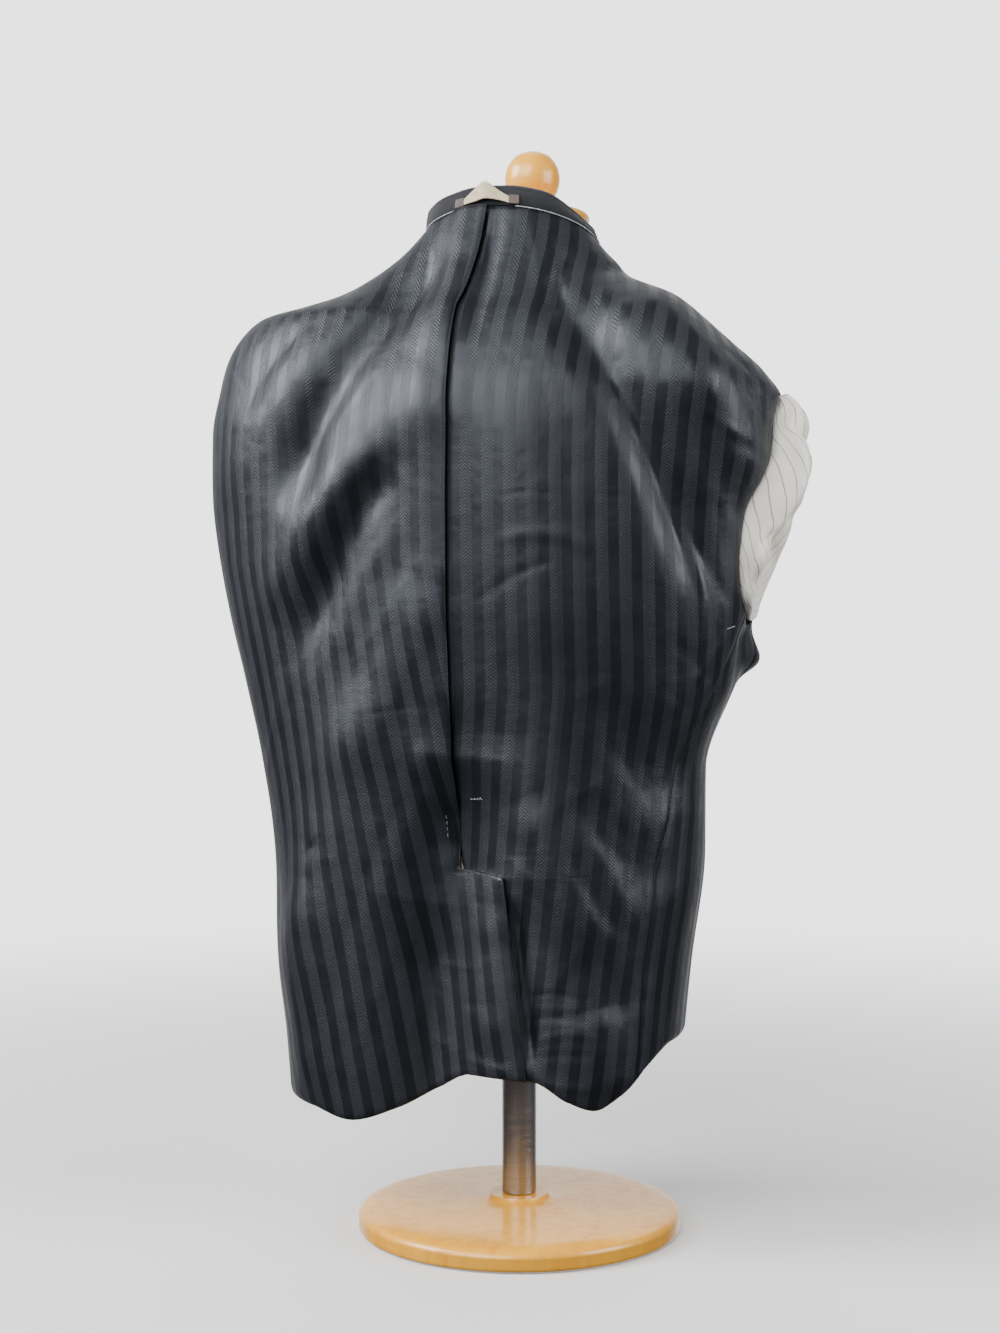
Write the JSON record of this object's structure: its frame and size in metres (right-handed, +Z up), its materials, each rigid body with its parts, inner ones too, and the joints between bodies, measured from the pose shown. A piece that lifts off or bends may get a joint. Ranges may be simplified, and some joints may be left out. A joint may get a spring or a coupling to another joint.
{
  "type": "blazer on dress form",
  "caption": "Man's blazer worn inside out on a limbless dress form: satin lining outward, pleated back with a vent, one pale sleeve lining puffed out of its armhole.",
  "frame": {"origin": "centre of the foot's underside", "axes": "+Z up, the form faces -Y, its left side is +X, the garment's back faces +Y"},
  "size_m": [0.5761, 0.3, 1.013],
  "materials": {
    "lining_satin": "blue-charcoal satin lining with tone-on-tone herringbone stripes",
    "dark_wool": "dark wool suiting, matt",
    "pale_sleeve_lining": "off-white satin with thin grey pinstripes",
    "woven_loop": "cream and gold woven strap, bare",
    "brown_woven_end": "brown woven end",
    "dark_horn": "dark horn",
    "form_cover": "plain natural linen cover",
    "honey_wood": "honey varnished wood",
    "brushed_post": "brushed steel"
  },
  "bodies": {
    "root": {"form_torso": "form_cover", "form_neck_cap": "honey_wood", "form_knob": "honey_wood", "form_post": "brushed_post", "form_foot": "honey_wood", "back_left": "lining_satin", "back_right": "lining_satin", "side_left": "lining_satin", "side_right": "lining_satin", "front_left": "lining_satin", "front_right": "lining_satin", "facing_left": "dark_wool", "facing_right": "dark_wool", "collar": "dark_wool", "sleeve_left": "dark_wool", "sleeve_right": "dark_wool", "sleeve_lining_left": "pale_sleeve_lining", "sleeve_lining_right": "pale_sleeve_lining", "hanger_loop": "woven_loop", "loop_end_left": "brown_woven_end", "loop_end_right": "brown_woven_end", "button_upper": "dark_horn", "button_lower": "dark_horn"}
  },
  "joints": []
}
